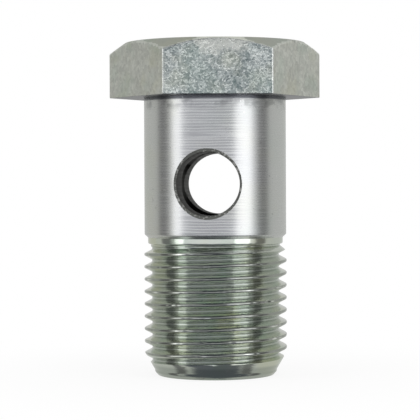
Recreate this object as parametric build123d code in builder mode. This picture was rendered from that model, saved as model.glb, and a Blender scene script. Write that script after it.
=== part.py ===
from build123d import *
import math
import os

os.makedirs("parts", exist_ok=True)

# Banjo bolt, G 1/2 parallel pipe thread, 27 mm spanner size. Millimetres.
# The bolt stands on its threaded end: that end face is z = 0 and the head is at the top.
# Two flats of the hexagon face -Y and +Y.
# The thread is a helical groove in straight steps, with flats for its rounded crest and root.

# ---- lengths along the axis ----
length_under_head = 40.6
head_height = 8.0
shank_length = 19.9
collar_length = 1.0
relief_length = 1.2

# ---- head ----
hex_across_flats = 26.8
hex_corner_round = 0.25
hex_top_flat_diameter = 26.2
hex_chamfer_angle = 35.0

# ---- shank and neck ----
shank_diameter = 20.8
shank_end_chamfer = 0.4
collar_diameter = 19.8

# ---- thread, right hand ----
thread_major_diameter = 20.955
thread_pitch = 1.814
thread_depth = 1.162
thread_flank_angle = 27.5
thread_start_chamfer_length = 0.9
thread_crest_height_at_x = 16.78
steps_per_turn = 32
end_face_diameter = 17.6
end_chamfer_length = 3.4

# ---- oil way ----
bore_diameter = 10.2
bore_depth = 30.8
bore_mouth_chamfer = 0.5
drill_point_angle = 59.0
port_diameter = 9.1
port_below_head = 12.6
port_turn = 7.0
port_edge_break = 0.4

# ---- named clearances ----
port_to_seam_angle = 37.5
cut_overrun = 2.0
relief_below_root = 0.1
groove_overrun = 0.1
crest_clearance = 0.3

# ---- worked out from the sizes above ----
head_underside = length_under_head
head_top = length_under_head + head_height
shank_radius = shank_diameter / 2
collar_radius = collar_diameter / 2
shank_seam_turn = port_to_seam_angle - port_turn
shank_bottom = head_underside - shank_length
collar_bottom = shank_bottom - collar_length
relief_bottom = collar_bottom - relief_length
major_radius = thread_major_diameter / 2
root_radius = major_radius - thread_depth
relief_radius = root_radius - relief_below_root
thread_top = relief_bottom - thread_start_chamfer_length
end_face_radius = end_face_diameter / 2
groove_height = thread_depth + groove_overrun
groove_top_radius = root_radius + groove_height
flank_slope = math.tan(math.radians(thread_flank_angle))
root_half_width = (thread_pitch / 2 - thread_depth * flank_slope) / 2
groove_half_width = root_half_width + groove_height * flank_slope
groove_phase = thread_crest_height_at_x - thread_pitch / 2
turns_below = math.ceil((groove_phase + thread_pitch) / thread_pitch)
helix_bottom = groove_phase - turns_below * thread_pitch
helix_top = relief_bottom + relief_length / 4
helix_height = helix_top - helix_bottom
port_height = head_underside - port_below_head
bore_radius = bore_diameter / 2
port_radius = port_diameter / 2


def head_block():
    """Hexagon prism of the head with its upright corners just broken."""
    with BuildPart(mode=Mode.PRIVATE) as block:
        with BuildSketch(Plane.XY.offset(head_underside)):
            RegularPolygon(hex_across_flats / 2, 6, major_radius=False)
        extrude(amount=head_height)
        fillet(block.edges().filter_by(Axis.Z), radius=hex_corner_round)
    return block.part


def head_envelope():
    """Turned form that gives the head its chamfer: a disc with a sloping upper edge."""
    reach = hex_across_flats / math.sqrt(3) + cut_overrun
    top_radius = hex_top_flat_diameter / 2
    drop = (reach - top_radius) * math.tan(math.radians(hex_chamfer_angle))
    with BuildPart(mode=Mode.PRIVATE) as envelope:
        with BuildSketch(Plane.XZ):
            with BuildLine():
                Polyline(
                    (0, head_underside - cut_overrun),
                    (reach, head_underside - cut_overrun),
                    (reach, head_top - drop),
                    (top_radius, head_top),
                    (0, head_top),
                    close=True,
                )
            make_face()
        revolve(axis=Axis.Z)
    return envelope.part


def shank_and_collar():
    """Plain shank with its broken lower edge, and the short collar under it."""
    with BuildPart(mode=Mode.PRIVATE) as body:
        with BuildSketch(Plane.XZ.rotated((0, 0, shank_seam_turn))):
            with BuildLine():
                Polyline(
                    (0, collar_bottom),
                    (collar_radius, collar_bottom),
                    (collar_radius, shank_bottom),
                    (shank_radius - shank_end_chamfer, shank_bottom),
                    (shank_radius, shank_bottom + shank_end_chamfer),
                    (shank_radius, head_underside),
                    (0, head_underside),
                    close=True,
                )
            make_face()
        revolve(axis=Axis.Z)
    return body.part


def threaded_envelope():
    """Turned form that trims the threaded length: end chamfer, start chamfer and relief."""
    end_slope = (major_radius - end_face_radius) / end_chamfer_length
    start_slope = (major_radius - relief_radius) / thread_start_chamfer_length
    clear_radius = major_radius + crest_clearance
    with BuildPart(mode=Mode.PRIVATE) as envelope:
        with BuildSketch(Plane.XZ):
            with BuildLine():
                Polyline(
                    (0, 0),
                    (end_face_radius, 0),
                    (clear_radius, end_chamfer_length + crest_clearance / end_slope),
                    (clear_radius, thread_top - crest_clearance / start_slope),
                    (relief_radius, relief_bottom),
                    (relief_radius, collar_bottom),
                    (0, collar_bottom),
                    close=True,
                )
            make_face()
        revolve(axis=Axis.Z)
    return envelope.part


def thread_groove():
    """Right-hand groove with a flat root, ruled from step to step round the bolt."""
    step_count = math.ceil(helix_height / thread_pitch * steps_per_turn)
    with BuildPart(mode=Mode.PRIVATE) as groove:
        for step in range(step_count + 1):
            turned = 360 * step / steps_per_turn
            middle = helix_bottom + thread_pitch * step / steps_per_turn
            with BuildSketch(Plane.XZ.rotated((0, 0, turned))):
                with BuildLine():
                    Polyline(
                        (root_radius, middle + root_half_width),
                        (root_radius, middle - root_half_width),
                        (groove_top_radius, middle - groove_half_width),
                        (groove_top_radius, middle + groove_half_width),
                        close=True,
                    )
                make_face()
        loft(ruled=True)
    return groove.part


def threaded_length():
    """Threaded part of the bolt: many-sided blank, helical groove, then its turned ends."""
    with BuildPart(mode=Mode.PRIVATE) as threaded:
        with BuildSketch(Plane.XY):
            RegularPolygon(major_radius, steps_per_turn)
        extrude(amount=collar_bottom + cut_overrun)
        add(thread_groove(), mode=Mode.SUBTRACT)
        add(threaded_envelope(), mode=Mode.INTERSECT)
    return threaded.part


def axial_bore():
    """Blind drilled way from the threaded end, with a drill point and a broken mouth."""
    point_height = bore_radius / math.tan(math.radians(drill_point_angle))
    mouth_radius = bore_radius + bore_mouth_chamfer
    with BuildPart(mode=Mode.PRIVATE) as drilled:
        with BuildSketch(Plane.XZ):
            with BuildLine():
                Polyline(
                    (0, -cut_overrun),
                    (mouth_radius, -cut_overrun),
                    (mouth_radius, 0),
                    (bore_radius, bore_mouth_chamfer),
                    (bore_radius, bore_depth),
                    (0, bore_depth + point_height),
                    close=True,
                )
            make_face()
        revolve(axis=Axis.Z)
    return drilled.part


def on_port_rim(edge):
    """True for the two curved edges where the cross port breaks out of the shank."""
    middle = edge.center(CenterOf.BOUNDING_BOX)
    beside_port = abs(middle.Z - port_height) < port_radius
    outside_bore = math.hypot(middle.X, middle.Y) > (bore_radius + shank_radius) / 2
    return beside_port and outside_bore


with BuildPart() as banjo_bolt:
    add(head_block())
    add(head_envelope(), mode=Mode.INTERSECT)
    add(shank_and_collar())
    add(threaded_length())
    add(axial_bore(), mode=Mode.SUBTRACT)
    with Locations(Location((0, 0, port_height), (0, 0, -port_turn))):
        Cylinder(
            radius=port_radius,
            height=shank_diameter + 2 * cut_overrun,
            rotation=(90, 0, 0),
            mode=Mode.SUBTRACT,
        )
    chamfer(banjo_bolt.edges().filter_by(on_port_rim), length=port_edge_break)

banjo_bolt.part.label = "banjo_bolt"
export_step(banjo_bolt.part, "parts/banjo_bolt.step")
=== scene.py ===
import math
from functools import partialmethod

import bpy
import numpy as np
from bpy.props import FloatProperty, FloatVectorProperty, IntProperty, PointerProperty
from mathutils import Matrix, Vector


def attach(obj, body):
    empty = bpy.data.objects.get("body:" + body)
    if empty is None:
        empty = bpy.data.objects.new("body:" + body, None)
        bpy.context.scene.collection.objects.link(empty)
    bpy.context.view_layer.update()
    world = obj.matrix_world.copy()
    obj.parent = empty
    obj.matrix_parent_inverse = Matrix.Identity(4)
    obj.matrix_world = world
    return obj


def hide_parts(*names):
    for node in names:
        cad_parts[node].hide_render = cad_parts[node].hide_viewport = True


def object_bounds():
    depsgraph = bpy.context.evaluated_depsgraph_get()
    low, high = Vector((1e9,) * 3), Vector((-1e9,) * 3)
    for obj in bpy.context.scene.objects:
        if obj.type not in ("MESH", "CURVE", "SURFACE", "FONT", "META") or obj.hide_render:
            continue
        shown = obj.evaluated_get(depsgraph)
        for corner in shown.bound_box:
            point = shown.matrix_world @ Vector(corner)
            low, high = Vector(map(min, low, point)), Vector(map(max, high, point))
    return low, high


bl_info = {
    "name": "Banjo bolt",
    "version": (1, 0, 0),
    "blender": (4, 5, 0),
    "location": "View3D > Sidebar > Banjo bolt",
    "description": "Builds a zinc plated banjo bolt with a pipe thread, and a plain studio for it",
    "category": "Object",
}

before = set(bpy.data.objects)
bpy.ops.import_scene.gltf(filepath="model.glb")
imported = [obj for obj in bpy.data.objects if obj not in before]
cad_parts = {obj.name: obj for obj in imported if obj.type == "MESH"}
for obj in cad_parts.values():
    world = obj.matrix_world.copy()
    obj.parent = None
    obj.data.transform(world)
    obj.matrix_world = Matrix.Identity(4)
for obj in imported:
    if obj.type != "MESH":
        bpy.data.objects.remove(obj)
CAD_LOW, CAD_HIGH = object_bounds()

CAD_NODE = "banjo_bolt"
BODY = "root"
MM = 0.001

# Material slots of the bolt.
TOP, FLAT, SHANK, THREAD, DRILLED, SEAT = range(6)

# Whitworth form: rounding and depth as shares of the pitch, and the turn from crest to flank.
FORM_ROUND = 0.137329
FORM_DEPTH = 0.640327
FORM_BEND = math.radians(62.5)

DRILL_POINT_RISE = 0.6  # its height as a share of its radius
WELD_GRAIN = 0.0004 * MM  # points this close are one
KNOCKS = 46  # knocks scattered over the crests
FEWEST_TRIANGLES, MOST_TRIANGLES = 50_000, 200_000
SHARP_ANGLE = math.radians(36)  # bends sharper than this stay edges


def number(name, description, default, **more):
    """A number in the sidebar."""
    return FloatProperty(name=name, description=description, default=default, **more)


def length(name, description, default):
    """A length in metres."""
    return number(name, description, default, unit="LENGTH", precision=5)


def angle(name, description, degrees):
    """An angle, written here in degrees."""
    return number(name, description, math.radians(degrees), subtype="ANGLE")


def pixels(name, description, default):
    """A length or a place in the frame, in pixels."""
    return number(name, description, default, subtype="PIXEL")


def colour(name, description, default):
    """A linear colour."""
    return FloatVectorProperty(
        name=name, description=description, default=default, subtype="COLOR", min=0.0, max=1.0
    )


class BoltSizes(bpy.types.PropertyGroup):
    """Sizes of the bolt, from its end face at z = 0 up to the head."""

    total_height: length("Total height", "End face to top of head", CAD_HIGH.z)
    head_height: length("Head height", "Thickness of the hexagon", 0.008)
    across_flats: length("Across flats", "Spanner size of the hexagon", CAD_HIGH.y - CAD_LOW.y)
    corner_round: length("Corner round", "Radius on the hexagon's upright corners", 0.00034)
    top_flat: length("Top flat", "Diameter where the head's chamfer starts", 0.0262)
    head_chamfer: angle("Head chamfer", "Slope of the head's chamfer below its top", 35.0)
    shank_diameter: length("Shank diameter", "Plain length that the banjo eye fits", 0.0208)
    shank_bottom: length("Shank bottom", "Height of the shank's lower end", 0.02017)
    shank_chamfer: length("Shank chamfer", "Height of the chamfer at that end", 0.00048)
    collar_diameter: length("Collar diameter", "Narrow land below the shank", 0.0198)
    collar_bottom: length("Collar bottom", "Height of the collar's lower end", 0.01922)
    relief_bottom: length("Relief bottom", "Height where the thread starts to rise", 0.0190)
    relief_diameter: length("Relief diameter", "Waist between collar and thread", 0.01893)
    thread_major: length("Thread major", "Diameter over the crests, G 1/2", 0.020955)
    thread_pitch: length("Thread pitch", "One turn's advance, 14 to the inch", 0.001814)
    thread_top: length("Thread top", "Height where the full crests end", 0.01815)
    crest_height: length("Crest height", "Height of one crest on the +X side", 0.01678)
    end_chamfer: length("End chamfer", "Height of the tapered lead-in", 0.0034)
    end_land: length("End land", "Height of the narrow land above the end bevel", 0.00085)
    end_land_diameter: length("End land diameter", "Diameter of that land", 0.0180)
    end_bevel: length("End bevel", "Height of the bevel at the end face", 0.0005)
    end_face: length("End face", "Diameter of the flat end", 0.0170)
    bore_diameter: length("Bore diameter", "Way along the axis", 0.0102)
    bore_depth: length("Bore depth", "Depth of the full diameter", 0.0308)
    bore_mouth: length("Bore mouth", "Chamfer at the bore's mouth", 0.0005)
    port_diameter: length("Port diameter", "Hole across the shank", 0.0091)
    port_height: length("Port height", "Height of the cross hole's axis", 0.028)
    port_turn: angle("Port turn", "Turn of the cross hole from the line through two flats", 7.0)
    port_edge: length("Port edge", "How far the cross hole's rim is broken", 0.00055)
    port_shift: length("Port shift", "How far the cross hole lies off the middle", -0.00025)
    columns: IntProperty(
        name="Columns", description="Faces round the bolt, a multiple of 6", default=288, min=48
    )


class BoltFinish(bpy.types.PropertyGroup):
    """Colours of the plating and its marks, and of its painted shade and highlights."""

    flat_light: colour("Crystals, light", "Bright crystals, gripped flats", (0.90, 0.94, 0.90))
    flat_dark: colour("Crystals, dark", "Dark crystals, gripped flats", (0.20, 0.255, 0.265))
    flat_matt: colour("Matt flat", "Even plating on the other flats", (0.78, 0.79, 0.745))
    # Rubbed metal and painted highlight along the edges of the flats.
    edge_highlight_colour: colour("Rubbed edge", "Edges of the flats", (0.90, 0.91, 0.87))
    scuff_colour: colour("Scuff", "Scuffed patch at the head's edge", (0.92, 0.93, 0.86))
    top_colour: colour("Top", "Matt plating on the chamfer", (0.50, 0.515, 0.475))
    # Painted shade under the head, on the seat and the top of the shank.
    under_head_shade: colour("Under head", "Dark plating on the seat", (0.15, 0.155, 0.17))
    shank_colour: colour("Shank", "Turned plating on the shank", (0.635, 0.64, 0.64))
    ring_colour: colour("Rings", "Turned rings on the shank", (0.24, 0.24, 0.26))
    thread_colour: colour("Thread", "Greenish plating on the flanks", (0.61, 0.642, 0.588))
    # Painted shade in the thread's roots.
    thread_root_shade: colour("Thread root", "Darker plating in the roots", (0.29, 0.325, 0.295))
    # Rubbed metal painted bright as a highlight, on the crests and along the head's chamfer border.
    rubbed_highlight_colour: colour("Crest", "Rubbed metal on the crests", (0.80, 0.82, 0.78))
    # Painted shade in the holes: near-black inside, less dark at the cross hole's rim.
    mouth_shade_colour: colour("Hole mouth", "Rim of the cross hole", (0.16, 0.165, 0.155))
    hole_shade_colour: colour("Drilled way", "Dark metal in the holes", (0.025, 0.025, 0.023))
    tint_yellow: colour("Film, yellow", "Yellowish film", (0.66, 0.65, 0.42))
    tint_green: colour("Film, green", "Greenish film", (0.42, 0.56, 0.47))


class StudioSettings(bpy.types.PropertyGroup):
    """Camera, lamps and floor."""

    camera_distance: length("Camera distance", "From the bolt's axis", 0.260)
    camera_height: length("Camera height", "Above the end face", 0.029)
    camera_azimuth: angle("Camera azimuth", "Direction of the camera", 268.1)
    camera_roll: angle("Camera roll", "Turn of the camera about its view", -0.25)
    focal_pixels: pixels("Focal length", "In pixels of the frame", 1768.0)
    frame_pixels: pixels("Frame width", "In pixels", 420.0)
    axis_pixel: pixels("Axis column", "Where the bolt's axis stands in the frame", 215.3)
    horizon_pixel: pixels("Horizon row", "Where eye level lies in the frame", 177.0)
    floor_colour: colour("Floor", "Plain pale floor", (0.96, 0.96, 0.96))
    sky_light: number("Sky light", "Strength of the all-round soft light", 0.75)
    left_panel: number("Left panel", "Radiance of the left soft light", 0.88)
    right_panel: number("Right panel", "Radiance of the right soft light", 0.93)


# ---- surfaces ----


def hex_outline(columns, across_flats, corner_round):
    """Outline of the hexagon, one point per column, first point on the +X corner.

    Each sixth is half a corner arc, a straight side and half the next arc. Arc points are the
    arc's centre plus its radius along a normal that turns 30 degrees. Side points divide the
    straight line between the two arcs.
    """
    arc_steps = 3
    sixth, twelfth = math.radians(60), math.radians(30)
    per_side = columns // 6
    index = np.arange(columns + 1)
    side, step = index // per_side, index % per_side
    start = sixth * side
    centre_distance = (across_flats / 2 - corner_round) / math.cos(twelfth)
    share = np.clip(
        np.where(step <= per_side / 2, step / arc_steps, 2 - (per_side - step) / arc_steps), 0, 2
    )
    along = np.clip((step - arc_steps) / (per_side - 2 * arc_steps), 0, 1)

    def arc_point(corner, normal):
        """Point of a corner's arc along a normal."""
        centre = centre_distance * np.stack([np.cos(corner), np.sin(corner)], 1)
        return centre + corner_round * np.stack([np.cos(normal), np.sin(normal)], 1)

    first = arc_point(start, start + twelfth * np.minimum(share, 1))
    last = arc_point(start + sixth, start + twelfth * np.maximum(share, 1))
    return first + (last - first) * along[:, None]


def profile(turn, corners):
    """Radius and height of each corner of a profile, spread over every column."""
    return np.stack([np.stack(np.broadcast_arrays(r, z, turn)[:2], 1) for r, z in corners])


def rounded_rows(corners, cuts, bends, spans):
    """Rows of points along a profile whose corners are rounded, for every column at once.

    corners is (count, columns, 2) of radius and height. A corner with a cut is replaced by the
    quadratic curve that starts that far before it, is drawn to it, and ends as far after it.
    Between two corners the straight part is divided evenly.
    """
    before = np.roll(corners, 1, axis=0) - corners
    after = np.roll(corners, -1, axis=0) - corners
    before /= np.linalg.norm(before, axis=2, keepdims=True) + 1e-12
    after /= np.linalg.norm(after, axis=2, keepdims=True) + 1e-12
    cuts = np.asarray(cuts, float)[:, None, None]
    enter = corners + before * cuts
    leave = corners + after * cuts
    rows = [enter[:1]]
    for k in range(len(corners)):
        if k:
            share = (np.arange(1, spans[k - 1] + 1) / spans[k - 1])[:, None, None]
            rows.append(leave[k - 1] + (enter[k] - leave[k - 1]) * share)
        if bends[k]:
            t = (np.arange(1, bends[k] + 1) / bends[k])[:, None, None]
            rows.append((1 - t) ** 2 * enter[k] + 2 * t * (1 - t) * corners[k] + t**2 * leave[k])
    return np.concatenate(rows)


def place(radius, height, angle):
    """Points at a radius and height, turned round the axis by an angle."""
    return np.stack([radius * np.cos(angle), radius * np.sin(angle), height], axis=-1)


def head_rows(size, turn):
    """Head from the middle of its top to the shank, as rows of points with a finish for each.

    The profile in each radial plane runs out over the flat top, down the conical chamfer to the
    hexagon, down the spanner flat and in under the head, where the columns drift from the
    hexagon's spacing to the shank's even spacing.
    """
    outline = hex_outline(len(turn) - 1, size.across_flats, size.corner_round)
    reach = np.hypot(outline[:, 0], outline[:, 1])
    heading = np.unwrap(np.arctan2(outline[:, 1], outline[:, 0]))
    top = size.total_height
    under = top - size.head_height
    cone = size.top_flat / 2
    edge = top - (reach - cone) * math.tan(size.head_chamfer)
    shank = size.shank_diameter / 2
    corners = profile(turn, [(0, top), (cone, top), (reach, edge), (reach, under), (shank, under)])
    bends = [0, 3, 4, 4, 0]
    spans = [8, 6, 14, 6]
    rows = rounded_rows(corners, [0, 0.12 * MM, 0.10 * MM, 0.10 * MM, 0], bends, spans)
    total = len(rows)
    inward = np.clip((np.arange(total) - (total - 1 - spans[3])) / spans[3], 0, 1)[:, None]
    finish = np.full(total - 1, TOP)
    flat_start = spans[0] + bends[1] + spans[1] + bends[2] // 2
    flat_end = flat_start + bends[2] // 2 + spans[2] + bends[3] // 2
    finish[flat_start:flat_end] = FLAT
    finish[flat_end:] = SEAT
    return place(rows[..., 0], rows[..., 1], heading * (1 - inward) + turn * inward), finish


def turned_rows(turn, finish, spans, *corners):
    """A turned profile, the same in every column.

    Each corner is its radius, its height, how far it is cut back and the steps of its curve.
    """
    cuts, bends = [corner[2] for corner in corners], [corner[3] for corner in corners]
    rows = rounded_rows(profile(turn, [corner[:2] for corner in corners]), cuts, bends, spans)
    return place(rows[..., 0], rows[..., 1], turn), np.full(len(rows) - 1, finish)


def whitworth_radius(turns_from_crest, size):
    """Radius of the 55 degree rounded thread at a distance from a crest, in turns.

    Near the crest and the root it is a circle arc, and between them a straight flank at 27.5
    degrees.
    """
    pitch = size.thread_pitch
    fillet = FORM_ROUND * pitch
    crest = size.thread_major / 2
    root = crest - FORM_DEPTH * pitch
    away = np.abs(turns_from_crest - np.round(turns_from_crest)) * pitch
    arc_reach = fillet * math.sin(FORM_BEND)
    near = crest - fillet + np.sqrt(np.maximum(fillet**2 - away**2, 0))
    far = root + fillet - np.sqrt(np.maximum(fillet**2 - (pitch / 2 - away) ** 2, 0))
    flank_top = crest - fillet * (1 - math.cos(FORM_BEND))
    flank = flank_top - (away - arc_reach) * math.tan(FORM_BEND)
    return np.where(away < arc_reach, near, np.where(away > pitch / 2 - arc_reach, far, flank))


def soft_lower(a, b, blend):
    """The lower of two radii, with the corner between them rounded over a small blend."""
    near = np.maximum(blend - np.abs(a - b), 0) / blend
    return np.minimum(a, b) - near**2 * blend / 4


def thread_rows(size, turn):
    """Thread from the relief down to the end land, as rows that climb with the helix.

    Each row keeps its place on the thread's form and rises by one pitch a turn, so the last
    column of a row meets the first column of the row a pitch above it. Rows are held between
    the relief and the end land. The radius is the lower of the thread's form and a turned
    outline that tapers at both ends.
    """
    pitch, crest = size.thread_pitch, size.crest_height
    arc = FORM_ROUND * math.sin(FORM_BEND)
    bend = FORM_ROUND * np.sin(FORM_BEND * np.arange(-3, 3) / 3)
    flank = arc + (0.5 - 2 * arc) * np.arange(3) / 3
    form = np.sort(np.concatenate([bend, flank, 0.5 + bend, 0.5 + flank]) % 1.0)
    low, high = size.end_land, size.relief_bottom
    turns = np.arange(math.floor((low - crest) / pitch) - 2, math.ceil((high - crest) / pitch) + 1)
    starts = (crest + (turns[:, None] + form) * pitch).ravel()
    starts = starts[(starts > low - pitch) & (starts < high)]
    starts = np.concatenate([[low - pitch], np.sort(starts), [high]])[::-1]
    climb = turn / (2 * np.pi)
    height = np.clip(starts[:, None] + pitch * climb, low, high)
    formed = whitworth_radius((height - crest) / pitch - climb, size)
    full, waist = size.thread_major / 2, size.relief_diameter / 2
    levels = [low, size.end_chamfer, size.thread_top, high]
    outline = np.interp(height, levels, [size.end_land_diameter / 2, full, full, waist])
    radius = soft_lower(formed, outline, 0.05 * MM)
    radius = np.where(height >= high, waist, radius)
    return place(radius, height, turn), np.full(len(starts) - 1, THREAD)


def wavy_field(points, scale, seed, waves=24):
    """Smooth random field between about -1 and 1: a sum of sine waves in seeded directions."""
    draw = np.random.default_rng(seed)
    direction = draw.normal(size=(waves, 3))
    direction /= np.linalg.norm(direction, axis=1, keepdims=True)
    speed = draw.uniform(0.6, 1.6, waves)[:, None] * direction / scale
    phase = draw.uniform(0, 2 * np.pi, waves)
    return np.sin(points @ speed.T + phase).sum(1) / math.sqrt(waves)


def dents(points, centres, radius, depth):
    """Depth of shallow round dents at each point: a bell curve about each centre."""
    spread = ((points[:, None, :] - centres[None, :, :]) ** 2).sum(2)
    return (depth * np.exp(-spread / (2 * radius**2))).sum(1)


def wear(points, size):
    """Handling marks, all pressed inward.

    Crests are roughened where a wavy field is high and knocked at random places. The head's
    upper edge, where its chamfer meets the flats, is nicked where another field is high.
    """
    radius = np.hypot(points[:, 0], points[:, 1])
    height = points[:, 2]
    crest = size.thread_major / 2
    on_crest = np.clip((radius - (crest - 0.25 * MM)) / (0.2 * MM), 0, 1)
    on_crest = on_crest * (height < size.relief_bottom)
    rough = np.clip(wavy_field(points, 0.22 * MM, seed=11) - 0.9, 0, 1)
    draw = np.random.default_rng(5)
    knock_turn = draw.uniform(0, 2 * np.pi, KNOCKS)
    knock_height = draw.uniform(1.0, 17.5, KNOCKS) * MM
    knocks = place(np.full(KNOCKS, crest), knock_height, knock_turn)
    knocked = dents(points, knocks, radius=0.22 * MM, depth=0.09 * MM)
    crest_loss = on_crest * (0.05 * MM * rough + knocked)
    top = size.total_height
    cone = top - (radius - size.top_flat / 2) * math.tan(size.head_chamfer)
    near_cone = np.exp(-((np.abs(height - cone) / (0.25 * MM)) ** 2))
    on_flat = (radius > size.across_flats / 2 - 0.02 * MM) & (height > top - size.head_height)
    nicks = np.clip(wavy_field(points, 0.3 * MM, seed=23) - 0.6, 0, 1.2)
    loss = crest_loss + 0.10 * MM * near_cone * on_flat * nicks
    moved = points.copy()
    moved[:, :2] -= points[:, :2] * (loss / np.maximum(radius, 1e-9))[:, None]
    return moved


def faces_of(first, rows, columns):
    """Quads of a grid of points, wound so that they face away from the axis."""
    j, i = np.meshgrid(np.arange(rows - 1), np.arange(columns - 1), indexing="ij")
    corner = first + j * columns + i
    return np.stack([corner, corner + columns, corner + columns + 1, corner + 1], -1).reshape(-1, 4)


def weld(points, faces, finish):
    """Joins points that coincide, and drops quads that have shrunk to a line or a point.

    Points in the same cell of a fine grid are one. A quad that lost one side keeps the joined
    point twice.
    """
    keys = np.round(points / WELD_GRAIN).astype(np.int64)
    _, first, joined = np.unique(keys, axis=0, return_index=True, return_inverse=True)
    faces = joined.reshape(-1)[faces]
    shrunk = (faces == np.roll(faces, -1, axis=1)).sum(1) > 1
    crossed = (faces[:, 0] == faces[:, 2]) | (faces[:, 1] == faces[:, 3])
    kept = ~(shrunk | crossed)
    return points[first], faces[kept], finish[kept]


def new_object(name, data):
    """Object in the scene."""
    made = bpy.data.objects.new(name, data)
    bpy.context.scene.collection.objects.link(made)
    return made


def build_object(name, points, faces, finish):
    """Object of the welded surface, with a true triangle where a quad lost a side."""
    points, faces, finish = weld(points, faces, finish)
    same = faces == np.roll(faces, -1, axis=1)
    three = same.any(1)
    order = (np.argmax(same[three], axis=1)[:, None] + np.arange(1, 4)) % 4
    threes = np.take_along_axis(faces[three], order, axis=1)
    fours = faces[~three]
    loops = np.concatenate([fours.ravel(), threes.ravel()])
    starts = np.concatenate([np.arange(len(fours)) * 4, fours.size + np.arange(len(threes)) * 3])
    mesh = bpy.data.meshes.new(name)
    mesh.vertices.add(len(points))
    mesh.vertices.foreach_set("co", points.astype(np.float32).ravel())
    mesh.loops.add(len(loops))
    mesh.loops.foreach_set("vertex_index", loops.astype(np.int32))
    mesh.polygons.add(len(starts))
    mesh.polygons.foreach_set("loop_start", starts.astype(np.int32))
    finish = np.concatenate([finish[~three], finish[three]])
    mesh.polygons.foreach_set("material_index", finish.astype(np.int32))
    mesh.update(calc_edges=True)
    mesh.validate()
    return new_object(name, mesh)


def bolt_surface(size):
    """The whole bolt but for its cross hole, as one closed surface of points and quads."""
    turn = np.linspace(0, 2 * np.pi, size.columns + 1)
    shank, collar = size.shank_diameter / 2, size.collar_diameter / 2
    relief, bore = size.relief_diameter / 2, size.bore_diameter / 2
    land, mouth = size.end_land_diameter / 2, size.bore_mouth
    under = size.total_height - size.head_height
    bottom, neck, depth = size.shank_bottom, size.collar_bottom, size.bore_depth
    to_collar = (
        (shank, under, 0, 0),
        (shank, bottom + size.shank_chamfer, 0.06 * MM, 3),
        (collar, bottom, 0, 0),
    )
    to_relief = (
        (collar, bottom, 0, 0),
        (collar, neck, 0.30 * MM, 5),
        (relief, neck, 0.12 * MM, 3),
        (relief, size.relief_bottom, 0, 0),
    )
    end = (
        (land, size.end_land, 0, 0),
        (land - 0.05 * MM, size.end_bevel, 0.1 * MM, 3),
        (size.end_face / 2, 0, 0.08 * MM, 3),
        (bore + mouth, 0, 0.1 * MM, 2),
        (bore, mouth, 0, 0),
    )
    drill_tip = depth + bore * DRILL_POINT_RISE
    way = ((bore, mouth, 0, 0), (bore, depth, 0.1 * MM, 2), (0, drill_tip, 0, 0))
    patches = [
        head_rows(size, turn),
        turned_rows(turn, SHANK, [39, 3], *to_collar),
        turned_rows(turn, THREAD, [3, 1, 1], *to_relief),
        thread_rows(size, turn),
        turned_rows(turn, THREAD, [2, 3, 4, 2], *end),
        turned_rows(turn, DRILLED, [30, 5], *way),
    ]
    points, faces, finish, first = [], [], [], 0
    for rows, patch_finish in patches:
        count, columns = rows.shape[:2]
        points.append(rows.reshape(-1, 3))
        faces.append(faces_of(first, count, columns))
        finish.append(np.repeat(patch_finish, columns - 1))
        first += count * columns
    return np.concatenate(points), np.concatenate(faces), np.concatenate(finish)


def port_cutter(size):
    """Closed surface of the cross hole: a cylinder whose mouths widen where they meet the shank.

    It goes round the hole's axis by an angle and along it by a step. At each angle the wall
    leaves the shank where the square of the shank's radius is the sum of the squares of the
    wall's distance aside and of the distance along. There it turns outward on a short arc and
    goes on straight.
    """
    around = np.linspace(0, 2 * np.pi, 97)
    radius, shank, edge = size.port_diameter / 2, size.shank_diameter / 2, size.port_edge
    bend, run, sunk = 0.4 * edge, 2.2 * MM, 1.1 * edge
    leave = np.sqrt(shank**2 - (radius * np.cos(around) + size.port_shift) ** 2)
    lean = np.radians(np.array([0, 12, 24, 36, 45]))
    arc_out, arc_wide = bend * np.sin(lean), bend * (1 - np.cos(lean))
    out = np.append(arc_out, arc_out[-1] + run * math.cos(lean[-1])) - sunk
    wide = np.append(arc_wide, arc_wide[-1] + run * math.sin(lean[-1]))
    far_along = leave + out[:, None]
    far_wide = radius + wide[:, None] + 0 * around
    middle = np.linspace(-1, 1, 9)[1:-1, None] * (leave - sunk)
    cap = np.full((1, len(around)), shank + run)
    along = np.concatenate([-cap, -far_along[::-1], middle, far_along, cap])
    across = np.concatenate(
        [cap * 0, far_wide[::-1], np.full_like(middle, radius), far_wide, cap * 0]
    )
    azimuth = 1.5 * np.pi - size.port_turn
    axis = np.array([math.cos(azimuth), math.sin(azimuth), 0.0])
    side = np.array([-axis[1], axis[0], 0.0])
    points = along[..., None] * axis + (across * np.cos(around) + size.port_shift)[..., None] * side
    points[..., 2] += across * np.sin(around) + size.port_height
    faces = faces_of(0, *along.shape)[:, ::-1]
    return points.reshape(-1, 3), faces, np.full(len(faces), DRILLED)


# ---- nodes ----


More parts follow.
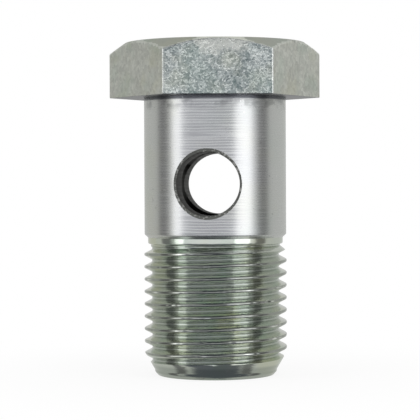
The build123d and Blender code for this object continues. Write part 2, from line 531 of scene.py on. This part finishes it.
class Net:
    """A shader node tree, built by steps that take and give sockets or values."""

    def __init__(self, tree):
        self.tree = tree

    def give(self, socket, value):
        """Links a socket to the one given, or sets its constant. A colour gets full alpha."""
        if isinstance(value, bpy.types.NodeSocket):
            self.tree.links.new(value, socket)
        elif socket.type == "RGBA":
            socket.default_value = (*value, 1.0)
        else:
            socket.default_value = value

    def add(self, kind, inputs=None, **settings):
        """Adds a node with its properties, and a value or a link for each input."""
        made = self.tree.nodes.new("ShaderNode" + kind)
        for key, value in settings.items():
            setattr(made, key, value)
        for key, value in (inputs or {}).items():
            self.give(made.inputs[key], value)
        return made

    def calc(self, operation, *values, clamp=False):
        """One step of arithmetic."""
        inputs = dict(enumerate(values))
        return self.add("Math", inputs, operation=operation, use_clamp=clamp).outputs[0]

    # Sum, difference, product, value times a factor plus an offset, larger one, unsigned value.
    plus = partialmethod(calc, "ADD")
    minus = partialmethod(calc, "SUBTRACT")
    times = partialmethod(calc, "MULTIPLY")
    scaled = partialmethod(calc, "MULTIPLY_ADD")
    most = partialmethod(calc, "MAXIMUM")
    span = partialmethod(calc, "ABSOLUTE")

    def rest(self, value):
        """One less the value."""
        return self.minus(1.0, value)

    def rise(self, value, low, high):
        """Smooth rise from 0 at low to 1 at high."""
        limits = {"Value": value, "From Min": low, "From Max": high}
        return self.add("MapRange", limits, interpolation_type="SMOOTHSTEP").outputs["Result"]

    def window(self, value, low, low_full, high_full, high):
        """Smooth window that is 1 from low_full to high_full and 0 outside low and high."""
        fall = self.rest(self.rise(value, high_full, high))
        return self.times(self.rise(value, low, low_full), fall)

    def mix(self, factor, first, second):
        """Mix of two colours by a factor."""
        inputs = {0: factor, 6: first, 7: second}
        return self.add("Mix", inputs, data_type="RGBA").outputs[2]

    def vector(self, operation, *values):
        """One step of vector arithmetic."""
        return self.add("VectorMath", dict(enumerate(values)), operation=operation).outputs

    def noise(self, vector, scale, detail=3.0, roughness=0.55):
        """Value of a noise texture."""
        inputs = {"Vector": vector, "Scale": scale, "Detail": detail, "Roughness": roughness}
        return self.add("TexNoise", inputs).outputs[0]

    def stretched(self, vector, scale):
        """Coordinates multiplied along x, y and z."""
        return self.add("Mapping", {"Vector": vector, "Scale": scale}).outputs[0]

    def where(self, kind="Object"):
        """Place on the object, in metres."""
        return self.add("TexCoord").outputs[kind]

    def split(self, vector):
        """The x, y and z of a vector."""
        return tuple(self.add("SeparateXYZ", {0: vector}).outputs)

    def radius(self, where):
        """Distance from the bolt's axis."""
        return self.vector("LENGTH", self.vector("MULTIPLY", where, (1, 1, 0))[0])["Value"]


def name_socket(group, label, in_out, is_colour):
    """Names an input or output of a group, either a colour or a number."""
    kind = "NodeSocketColor" if is_colour else "NodeSocketFloat"
    return group.interface.new_socket(label, in_out=in_out, socket_type=kind)


def new_group(name, inputs):
    """Net of an empty node group with named inputs, and those inputs."""
    group = bpy.data.node_groups.new(name, "ShaderNodeTree")
    for label, value in inputs.items():
        is_colour = isinstance(value, tuple)
        socket = name_socket(group, label, "INPUT", is_colour)
        socket.default_value = (*value, 1.0) if is_colour else value
    return Net(group), group.nodes.new("NodeGroupInput").outputs


def close_group(net, outputs):
    """Names a node group's outputs, joins them and returns the group."""
    end = net.tree.nodes.new("NodeGroupOutput")
    for label, socket in outputs.items():
        name_socket(net.tree, label, "OUTPUT", socket.type == "RGBA")
        net.tree.links.new(socket, end.inputs[label])
    return net.tree


def spangle_group():
    """Crystals of the plating: small cells of uneven brightness over soft larger clouds."""
    tones = {"Light": (0.66, 0.70, 0.71), "Dark": (0.30, 0.36, 0.39)}
    tones.update({"Crystals per metre": 2600.0, "Contrast": 1.0})
    net, given = new_group("zinc_spangle", tones)
    where = net.where()
    bend = 0.6 * MM
    bent = net.add("TexNoise", {"Vector": where, "Scale": 1300.0, "Detail": 2.0}).outputs[1]
    moved = net.vector("ADD", where, net.vector("MULTIPLY", bent, (bend, bend, bend))[0])[0]
    cells = net.add("TexVoronoi", {"Vector": moved, "Scale": given["Crystals per metre"]})
    cell_tone = net.add("SeparateColor", {0: cells.outputs["Color"]}).outputs[0]
    fine = net.noise(where, 3800.0, detail=2.0)
    cloud = net.noise(where, 330.0)
    mixed = net.scaled(cell_tone, 0.5, net.times(fine, 0.5))
    spread = net.times(net.minus(mixed, 0.5), given["Contrast"])
    cloud_lift = net.times(net.minus(cloud, 0.5), 1.1)
    tone = net.calc("ADD", net.plus(spread, 0.5), cloud_lift, clamp=True)
    shade = net.mix(tone, given["Dark"], given["Light"])
    return close_group(net, {"Color": shade, "Grain": tone, "Height": mixed})


def turning_group():
    """Tool marks left by turning: fine rings round the axis, deeper in some places."""
    net, given = new_group("turning_marks", {"Rings per metre": 2800.0, "Unevenness": 0.5})
    where = net.where()
    x, y, z = net.split(where)
    level = net.scaled(net.noise(where, 160.0, detail=2.0), 0.3 * MM, z)
    phase = net.times(net.times(level, given["Rings per metre"]), 2 * math.pi)
    ring = net.scaled(net.calc("SINE", phase), 0.5, 0.5)
    lined = net.add("CombineXYZ", {0: x, 1: y, 2: level}).outputs[0]
    streak = net.noise(net.stretched(lined, (90.0, 90.0, 5200.0)), 1.0)
    patch = net.noise(net.stretched(where, (240.0, 240.0, 700.0)), 1.0, detail=2.0)
    strength = net.times(net.rise(patch, 0.35, 0.7), given["Unevenness"])
    height = net.plus(net.times(ring, strength), net.times(streak, 0.8))
    even = net.times(net.minus(ring, 0.5), 0.22)
    return close_group(net, {"Height": height, "Streak": net.plus(streak, even)})


def film_group():
    """Passivation film: patches of yellow and green tint over the plating's own colour."""
    tints = {"Color": (0.6, 0.6, 0.6), "Yellow": (0.66, 0.65, 0.42), "Green": (0.42, 0.56, 0.47)}
    tints.update({"Amount": 0.3, "Patches per metre": 130.0})
    net, given = new_group("passivation_film", tints)
    where = net.where()
    apart = net.vector("ADD", where, (0.05, 0.02, 0.03))[0]
    shade = given["Color"]
    for tint, spot in (("Yellow", where), ("Green", apart)):
        patch = net.rise(net.noise(spot, given["Patches per metre"]), 0.45, 0.7)
        shade = net.mix(net.times(patch, given["Amount"]), shade, given[tint])
    return close_group(net, {"Color": shade})


def speckle_group():
    """Specks and small scratches: a scatter of dark pits and bright rubbed points."""
    net, given = new_group("handling_specks", {"Specks per metre": 1500.0, "Share": 0.3})
    where = net.where()
    grain = net.noise(where, given["Specks per metre"], detail=2.0, roughness=0.7)
    region = net.noise(where, 210.0, detail=2.0)
    limit = net.scaled(given["Share"], -0.35, 0.80)
    limit = net.minus(limit, net.times(net.minus(region, 0.5), 0.3))
    dark = net.rise(net.minus(grain, limit), 0.0, 0.05)
    bright = net.rise(net.minus(net.rest(grain), limit), 0.0, 0.05)
    return close_group(net, {"Dark": dark, "Bright": bright})


def edge_highlight_group(size):
    """Painted highlights on the head's edges, partly rubbed metal: the chamfer's curved border and
    the upright corners.

    The border is where both the distance inside the nearest flat and the distance below the
    chamfer's cone are small. The corners are where the distance from the axis is largest.
    """
    flats = size.across_flats
    head = {"Head top": size.total_height, "Across flats": flats}
    net, given = new_group("head_edge_highlights", head)
    twelfth = math.radians(30)
    where = net.where()
    _, y, z = net.split(where)
    reach = net.span(y)
    for side in (-1.0, 1.0):
        normal = (math.cos(twelfth), side * math.sin(twelfth), 0.0)
        facing = net.vector("DOT_PRODUCT", where, normal)["Value"]
        reach = net.most(reach, net.span(facing))
    flat_gap = net.minus(net.times(given["Across flats"], 0.5), reach)
    radius = net.radius(where)
    fall = net.times(net.minus(radius, size.top_flat / 2), math.tan(size.head_chamfer))
    cone_gap = net.minus(net.minus(given["Head top"], fall), z)
    gap = net.plus(net.span(flat_gap), net.span(cone_gap))
    uneven = net.scaled(net.noise(where, 1500.0), 1.0 * MM, -0.5 * MM)
    border = net.rest(net.rise(net.plus(gap, uneven), 0.1 * MM, 0.28 * MM))
    tip = (flats / 2 - size.corner_round) / math.cos(twelfth) + size.corner_round
    corner = net.rise(radius, tip - 0.055 * MM, tip - 0.02 * MM)
    return close_group(net, {"Border": border, "Corner": corner})


def scuff_group(size):
    """Scuffed patch at the upper edge of the front flat, with a ragged border."""
    net, given = new_group("scuffed_head_edge", {"Middle": 0.4 * MM})
    where = net.where()
    x, y, z = net.split(where)
    top, front = size.total_height, -size.across_flats / 2
    ragged = net.scaled(net.noise(where, 700.0, detail=4.0, roughness=0.65), 6.0 * MM, -3.0 * MM)
    aside = net.plus(net.span(net.minus(x, given["Middle"])), ragged)
    inside = net.rest(net.rise(aside, 2.8 * MM, 4.2 * MM))
    level = net.plus(z, net.times(ragged, 0.5))
    high = net.rise(level, top - 2.7 * MM, top - 1.5 * MM)
    ahead = net.rest(net.rise(y, front + 0.9 * MM, front + 1.4 * MM))
    return close_group(net, {"Scuff": net.times(net.times(inside, high), ahead)})


# ---- finishes ----


def dimmed(shade, share):
    """A share of a colour."""
    return [share * part for part in shade]


class Finish(Net):
    """One metal of the bolt, made from the colours, the sizes and the shared groups."""

    def __init__(self, name, look, size, groups):
        self.material = bpy.data.materials.new(name)
        self.material.use_nodes = True
        super().__init__(self.material.node_tree)
        self.look, self.size, self.groups = look, size, groups
        self.tree.nodes.clear()
        self.shader = self.add("BsdfPrincipled", {"Metallic": 1.0})
        self.add("OutputMaterial", {"Surface": self.shader.outputs[0]})

    def effect(self, name, inputs=None):
        """Places a shared group with its own values and returns its outputs."""
        return self.add("Group", inputs, node_tree=self.groups[name]).outputs

    def tinted(self, shade, amount, patches=130.0):
        """Plating of one colour under its film of yellow and green."""
        yellow, green = self.look.tint_yellow, self.look.tint_green
        film = {"Color": shade, "Yellow": yellow, "Green": green, "Amount": amount}
        return self.effect("film", film | {"Patches per metre": patches})["Color"]

    def specked(self, shade, rate, share, bright, dark=None):
        """Colour with a scatter of dark pits and bright points, each an amount and a colour."""
        specks = self.effect("specks", {"Specks per metre": rate, "Share": share})
        for label, mark in (("Dark", dark), ("Bright", bright)):
            if mark:
                shade = self.mix(self.times(specks[label], mark[0]), shade, mark[1])
        return shade

    def scuffed(self, shade, amount):
        """Colour with the scuffed patch at the head's edge."""
        scuff = self.times(self.effect("scuff")["Scuff"], amount)
        return self.mix(scuff, shade, self.look.scuff_colour)

    def dress(self, shade, roughness, height=None, depth=0.0, strength=1.0):
        """Gives the metal its colour, its roughness and a small relief, its depth in metres."""
        self.give(self.shader.inputs["Base Color"], shade)
        self.give(self.shader.inputs["Roughness"], roughness)
        if height is not None:
            bump = self.add("Bump", {"Height": height, "Distance": depth, "Strength": strength})
            self.give(self.shader.inputs["Normal"], bump.outputs[0])


def head_top_finish(net):
    """Matt grey-green plating of the chamfer and top, with a few nicks and a painted highlight
    along the chamfer's border.
    """
    shade = net.tinted(net.look.top_colour, amount=0.22)
    bright, dark = (0.5, (0.8, 0.8, 0.78)), (0.5, (0.2, 0.2, 0.18))
    shade = net.specked(shade, 1900.0, 0.25, bright, dark)
    # Painted highlight, partly rubbed metal, along the chamfer's border.
    border = net.effect("edges")["Border"]
    shade = net.mix(net.times(border, 0.7), shade, net.look.rubbed_highlight_colour)
    shade = net.scuffed(shade, 0.85)
    grain = net.noise(net.where(), 2600.0)
    net.dress(shade, net.scaled(grain, 0.2, 0.42), grain, 0.04 * MM, 0.6)


def spanner_flat_finish(net):
    """Hexagon sides: the gripped pair glitters with crystals, the others are matt.

    The gripped pair are the flats that face along Y, told by their distance from the middle.
    """
    look, half = net.look, net.size.across_flats / 2
    _, y, _ = net.split(net.where())
    gripped = net.rise(net.span(y), half - 0.22 * MM, half - 0.06 * MM)

    def crystals(light, dark, rate, contrast):
        """Crystals of the plating in two tones."""
        tones = {"Light": light, "Dark": dark, "Crystals per metre": rate, "Contrast": contrast}
        return net.effect("spangle", tones)

    glittering = crystals(look.flat_light, look.flat_dark, 3700.0, 1.25)
    matt = crystals(look.flat_matt, dimmed(look.flat_matt, 0.74), 2200.0, 1.5)
    shade = net.mix(gripped, matt["Color"], glittering["Color"])
    shade = net.tinted(shade, amount=0.22, patches=210.0)
    edges = net.effect("edges")
    # Painted highlights, partly rubbed metal, along the chamfer's border and the upright corners.
    worn_edge_highlight = net.most(net.times(edges["Border"], 0.6), net.times(edges["Corner"], 0.65))
    shade = net.scuffed(net.mix(worn_edge_highlight, shade, look.edge_highlight_colour), 0.8)
    glitter = net.scaled(glittering["Grain"], -0.22, 0.40)
    rough = net.add("Mix", {0: gripped, 2: 0.5, 3: glitter}).outputs[0]
    height = net.times(glittering["Height"], net.scaled(gripped, 0.85, 0.15))
    net.dress(shade, rough, height, 0.1 * MM)


def turned_shank_finish(net):
    """Smooth turned plating with fine rings and specks, with painted shade in a strip under the
    head and darker blotches below that strip.

    The rings are strongest on the front and the back, a little left of the middle.
    """
    look, size = net.look, net.size
    marks = net.effect("turning", {"Rings per metre": 2500.0, "Unevenness": 0.8})
    where = net.where()
    x, y, z = net.split(where)
    ringed = net.window(x, -8.0 * MM, -6.0 * MM, 1.5 * MM, 4.2 * MM)
    facing = net.rise(net.span(y), 8.0 * MM, 10.0 * MM)
    facing = net.times(facing, net.scaled(ringed, 0.8, 0.2))
    shade = net.tinted(look.shank_colour, amount=0.12)
    ring = net.rest(net.rise(marks["Streak"], 0.38, 0.62))
    ring = net.times(ring, net.scaled(facing, 0.48, 0.04))
    shade = net.mix(ring, shade, look.ring_colour)
    # Painted shade: a dark strip just under the head, and darker blotches up to 2.3 mm below it, in
    # the same colour.
    under = size.total_height - size.head_height
    blotch = net.rise(net.noise(where, 520.0), 0.45, 0.62)
    blotch = net.times(blotch, net.rise(z, under - 2.3 * MM, under - 1.0 * MM))
    shade_under_head = net.rise(z, under - 0.6 * MM, under - 0.35 * MM)
    shade_under_head = net.most(shade_under_head, net.times(blotch, 0.45))
    shade = net.mix(shade_under_head, shade, look.under_head_shade)
    bright, dark = (0.4, (0.85, 0.85, 0.85)), (0.5, (0.22, 0.22, 0.22))
    shade = net.specked(shade, 1700.0, 0.3, bright, dark)
    rough = net.scaled(marks["Streak"], 0.12, 0.20)
    net.dress(shade, rough, net.times(marks["Height"], facing), 0.03 * MM, 0.25)


def thread_finish(net):
    """Greenish plating with painted shade in the roots and just below the crests, and crests rubbed
    bright and painted brighter as a highlight.
    """
    look, size = net.look, net.size
    where = net.where()
    radius = net.radius(where)
    crest = size.thread_major / 2
    root = crest - FORM_DEPTH * size.thread_pitch
    shade = net.tinted(look.thread_colour, amount=0.35, patches=170.0)
    # Painted shade in the roots.
    root_shade = net.rest(net.rise(radius, root - 0.006 * MM, root + 0.304 * MM))
    shade = net.mix(net.times(root_shade, 0.55), shade, look.thread_root_shade)
    # Painted shade in a thin band just below each crest, which keeps the crest's bright line
    # narrow.
    under_crest_shade = net.rise(radius, crest - 0.1675 * MM, crest - 0.0775 * MM)
    shade = net.mix(under_crest_shade, shade, dimmed(look.thread_colour, 0.6))
    # Crests rubbed bright and painted brighter as a highlight.
    rub = net.scaled(net.noise(where, 420.0, detail=4.0), 0.24 * MM, radius)
    on_crest = net.rise(rub, crest + 0.1025 * MM, crest + 0.1525 * MM)
    shade = net.mix(on_crest, shade, look.rubbed_highlight_colour)
    shade = net.specked(shade, 1900.0, 0.2, bright=(0.35, (0.8, 0.8, 0.76)))
    grain = net.noise(net.stretched(where, (900.0, 900.0, 2600.0)), 1.0)
    net.dress(shade, net.scaled(grain, 0.10, 0.07), grain, 0.03 * MM, 0.5)


def drilled_shade_finish(net):
    """Painted shade inside the bore and the cross hole: a near-black, weakly reflecting colour,
    lighter and specked at its rim.
    """
    look, size = net.look, net.size
    marks = net.effect("turning", {"Rings per metre": 1900.0, "Unevenness": 1.0})
    rim = size.shank_diameter / 2 - size.port_edge
    # Painted shade: near-black deep in the holes, less dark towards the cross hole's rim.
    near_mouth = net.rise(net.radius(net.where()), rim, rim + 0.15 * MM)
    shade = net.mix(near_mouth, look.hole_shade_colour, look.mouth_shade_colour)
    shade = net.specked(shade, 1900.0, 0.7, (net.times(near_mouth, 0.7), (0.6, 0.6, 0.58)))
    net.give(net.shader.inputs["Metallic"], 0.3)
    net.give(net.shader.inputs["Specular IOR Level"], 0.15)
    net.dress(shade, net.scaled(marks["Streak"], 0.2, 0.45), marks["Height"], 0.04 * MM, 0.6)


def seat_shade_finish(net):
    """Seat under the head: painted shade, a dark colour with bright specks."""
    bright = (0.3, net.look.shank_colour)
    net.dress(net.specked(net.look.under_head_shade, 1700.0, 0.25, bright), 0.35)


# The bolt's finishes in the order of its material slots.
FINISHES = {
    "zinc_head_top": head_top_finish,
    "zinc_spanner_flat": spanner_flat_finish,
    "zinc_turned_shank": turned_shank_finish,
    "zinc_thread": thread_finish,
    "zinc_shaded_drilled_way": drilled_shade_finish,
    "zinc_seat_shaded": seat_shade_finish,
}


def make_finishes(look, size):
    """All finishes of the bolt, in the order of its material slots."""
    groups = {
        "spangle": spangle_group(),
        "turning": turning_group(),
        "film": film_group(),
        "specks": speckle_group(),
        "edges": edge_highlight_group(size),
        "scuff": scuff_group(size),
    }
    made = []
    for name, maker in FINISHES.items():
        finish = Finish(name, look, size, groups)
        maker(finish)
        made.append(finish.material)
    return made


# ---- studio ----

WHITE = (1.0, 1.0, 1.0)

# Tones of the surround in the bolt's reflections.
FRONT_LEVEL = (0.96, 0.97, 1.0)
FRONT_DARK = (0.135, 0.145, 0.165)
LEFT_SIDE = (0.60, 0.61, 0.58)
RIGHT_SIDE = (0.62, 0.63, 0.605)
DARK_FLAG = (0.21, 0.21, 0.21)
BEHIND = (0.66, 0.66, 0.65)

# Soft lamps: name, azimuth in degrees and width in metres.
PANELS = (("left_panel", 204.5, 0.16), ("right_panel", 314.6, 0.27))
PANEL_DISTANCE, PANEL_HEIGHT, PANEL_TALL, AIM_HEIGHT = 0.42, 0.24, 1.0, 0.028

FLOOR_HALF, FLOOR_POINTS = 1.5, 13
SENSOR_WIDTH = 36.0


def add_panel(name, azimuth, wide, radiance):
    """Tall soft lamp standing at an azimuth in degrees and facing the bolt."""
    data = bpy.data.lights.new(name, "AREA")
    data.shape = "RECTANGLE"
    data.size, data.size_y = wide, PANEL_TALL
    data.energy = radiance * math.pi * wide * PANEL_TALL
    lamp = new_object(name, data)
    lamp.location = place(PANEL_DISTANCE, PANEL_HEIGHT, math.radians(azimuth))
    aim = Vector((0, 0, AIM_HEIGHT)) - lamp.location
    lamp.rotation_euler = aim.to_track_quat("-Z", "Y").to_euler()


def studio_world(settings):
    """White surround with an even soft light.

    In the bolt's reflections it has tones of its own: bright at eye level in front, dark high
    and low there, grey at both sides with a dark flag beside each lamp, and grey behind. The
    turn is in degrees from the front, negative on the left.
    """
    world = bpy.data.worlds.new("studio")
    bpy.context.scene.world = world
    world.use_nodes = True
    net = Net(world.node_tree)
    net.tree.nodes.clear()
    x, y, z = net.split(net.where("Generated"))
    turn = net.calc("DEGREES", net.calc("ARCTAN2", x, net.times(y, -1.0)))
    front = net.rest(net.rise(net.span(turn), 55.0, 80.0))
    ahead = net.mix(net.rise(net.span(z), 0.06, 0.30), FRONT_LEVEL, FRONT_DARK)
    aside = net.mix(net.rise(turn, -5.0, 5.0), LEFT_SIDE, RIGHT_SIDE)
    mirrored = net.mix(front, aside, ahead)
    right_flag = net.window(turn, 66.0, 74.0, 88.0, 97.0)
    left_flag = net.window(turn, -110.0, -101.0, -87.0, -78.0)
    mirrored = net.mix(net.most(right_flag, left_flag), mirrored, DARK_FLAG)
    mirrored = net.mix(net.rise(y, 0.86, 0.99), mirrored, BEHIND)
    rays = net.add("LightPath").outputs
    soft, reflected, plain = (
        net.add("Background", {"Color": shade, "Strength": strength}).outputs[0]
        for shade, strength in ((WHITE, settings.sky_light), (mirrored, 1.0), (WHITE, 1.0))
    )
    bounced = net.most(rays["Is Glossy Ray"], rays["Is Transmission Ray"])
    unseen = net.add("MixShader", {0: bounced, 1: soft, 2: reflected}).outputs[0]
    whole = net.add("MixShader", {0: rays["Is Camera Ray"], 1: unseen, 2: plain})
    net.add("OutputWorld", {"Surface": whole.outputs[0]})


def studio_floor(settings):
    """Plain pale floor under the end face, left out of the bolt's own reflections.

    It glows white to the camera except for a share that takes the bolt's soft shadow. That
    share fades out away from the bolt.
    """
    steps = np.linspace(-FLOOR_HALF, FLOOR_HALF, FLOOR_POINTS)
    x, y = np.meshgrid(steps, steps, indexing="xy")
    points = np.stack([x, y, np.zeros_like(x)], -1).reshape(-1, 3)
    faces = faces_of(0, FLOOR_POINTS, FLOOR_POINTS)[:, ::-1]
    floor = build_object("floor", points, faces, np.zeros(len(faces)))
    material = bpy.data.materials.new("pale_floor")
    material.use_nodes = True
    net = Net(material.node_tree)
    shader = net.tree.nodes["Principled BSDF"]
    net.give(shader.inputs["Base Color"], settings.floor_colour)
    net.give(shader.inputs["Roughness"], 0.9)
    net.give(shader.inputs["Specular IOR Level"], 0.0)
    away = net.vector("LENGTH", net.where())["Value"]
    rays = net.add("LightPath").outputs
    seen = net.most(rays["Is Camera Ray"], rays["Is Transmission Ray"])
    share = net.scaled(net.rise(away, 12.0 * MM, 60.0 * MM), 0.12, 0.88)
    glow = net.add("Emission", {"Color": WHITE, "Strength": 1.0}).outputs[0]
    lit = net.add("MixShader", {0: net.times(seen, share), 1: shader.outputs[0], 2: glow})
    clear = net.add("BsdfTransparent").outputs[0]
    mixed = net.add("MixShader", {0: rays["Is Glossy Ray"], 1: lit.outputs[0], 2: clear})
    net.give(net.tree.nodes["Material Output"].inputs["Surface"], mixed.outputs[0])
    floor.data.materials.append(material)


def studio_camera(settings):
    """Camera level with the shank, aimed a little down and aside."""
    data = bpy.data.cameras.new("camera")
    data.sensor_width = SENSOR_WIDTH
    data.lens = settings.focal_pixels * SENSOR_WIDTH / settings.frame_pixels
    data.clip_start, data.clip_end = 0.02, 20.0
    camera = new_object("camera", data)
    spot = place(settings.camera_distance, settings.camera_height, settings.camera_azimuth)
    middle = settings.frame_pixels / 2
    yaw = math.atan((settings.axis_pixel - middle) / settings.focal_pixels)
    pitch = math.atan((middle - settings.horizon_pixel) / settings.focal_pixels)
    heading = settings.camera_azimuth + math.pi + yaw
    view = Vector(place(math.cos(pitch), -math.sin(pitch), heading))
    roll = Matrix.Rotation(settings.camera_roll, 3, "Z")
    turned = view.to_track_quat("-Z", "Y").to_matrix() @ roll
    camera.matrix_world = Matrix.Translation(Vector(spot)) @ turned.to_4x4()
    bpy.context.scene.camera = camera


# ---- operators ----


class BANJO_OT_bolt(bpy.types.Operator):
    """Build the bolt's surface, cut its cross hole and give it its finishes"""

    bl_idname = "banjo.bolt"
    bl_label = "Make bolt"

    def execute(self, context):
        size = context.scene.bolt_sizes
        points, faces, finish = bolt_surface(size)
        bolt = build_object("bolt", wear(points, size), faces, finish)
        cutter = build_object("cross_hole", *port_cutter(size))
        for material in make_finishes(context.scene.bolt_finish, size):
            bolt.data.materials.append(material)
            cutter.data.materials.append(material)
        cut = bolt.modifiers.new("cross_hole", "BOOLEAN")
        cut.operation = "DIFFERENCE"
        cut.solver = "EXACT"
        cut.object = cutter
        settled = bolt.evaluated_get(context.evaluated_depsgraph_get())
        bored = bpy.data.meshes.new_from_object(settled)
        bolt.modifiers.clear()
        whole = bolt.data
        bolt.data = bored
        bored.name = "bolt"
        bpy.data.meshes.remove(whole)
        bpy.data.objects.remove(cutter)
        bored.polygons.foreach_set("use_smooth", np.ones(len(bored.polygons), bool))
        bored.set_sharp_from_angle(angle=SHARP_ANGLE)
        bored.calc_loop_triangles()
        count = len(bored.loop_triangles)
        if not FEWEST_TRIANGLES < count < MOST_TRIANGLES:
            raise RuntimeError(f"the bolt has {count} triangles")
        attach(bolt, BODY)
        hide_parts(CAD_NODE)
        return {"FINISHED"}


class BANJO_OT_studio(bpy.types.Operator):
    """Set up the pale floor, the soft lamps, the white surround and the camera"""

    bl_idname = "banjo.studio"
    bl_label = "Make studio"

    def execute(self, context):
        settings = context.scene.bolt_studio
        studio_world(settings)
        studio_floor(settings)
        for name, azimuth, wide in PANELS:
            add_panel(name, azimuth, wide, getattr(settings, name))
        studio_camera(settings)
        context.scene.view_settings.view_transform = "Standard"
        return {"FINISHED"}


class BANJO_PT_sidebar(bpy.types.Panel):
    """Sizes, finishes and studio of the banjo bolt"""

    bl_idname = "BANJO_PT_sidebar"
    bl_label = "Banjo bolt"
    bl_space_type = "VIEW_3D"
    bl_region_type = "UI"
    bl_category = "Banjo bolt"

    def draw(self, context):
        column = self.layout.column()
        for operator in (BANJO_OT_bolt, BANJO_OT_studio):
            column.operator(operator.bl_idname)
        for settings in GROUPS:
            group = getattr(context.scene, settings)
            box = self.layout.box()
            for name in group.bl_rna.properties.keys():
                if name not in ("rna_type", "name"):
                    box.prop(group, name)


GROUPS = {"bolt_sizes": BoltSizes, "bolt_finish": BoltFinish, "bolt_studio": StudioSettings}
CLASSES = (*GROUPS.values(), BANJO_OT_bolt, BANJO_OT_studio, BANJO_PT_sidebar)


def register():
    for cls in CLASSES:
        bpy.utils.register_class(cls)
    for name, group in GROUPS.items():
        setattr(bpy.types.Scene, name, PointerProperty(type=group))


def unregister():
    for name in GROUPS:
        delattr(bpy.types.Scene, name)
    for cls in reversed(CLASSES):
        bpy.utils.unregister_class(cls)


def main():
    """Registers the add-on and makes each piece."""
    register()
    bpy.ops.banjo.bolt()
    bpy.ops.banjo.studio()


if __name__ == "__main__":
    main()
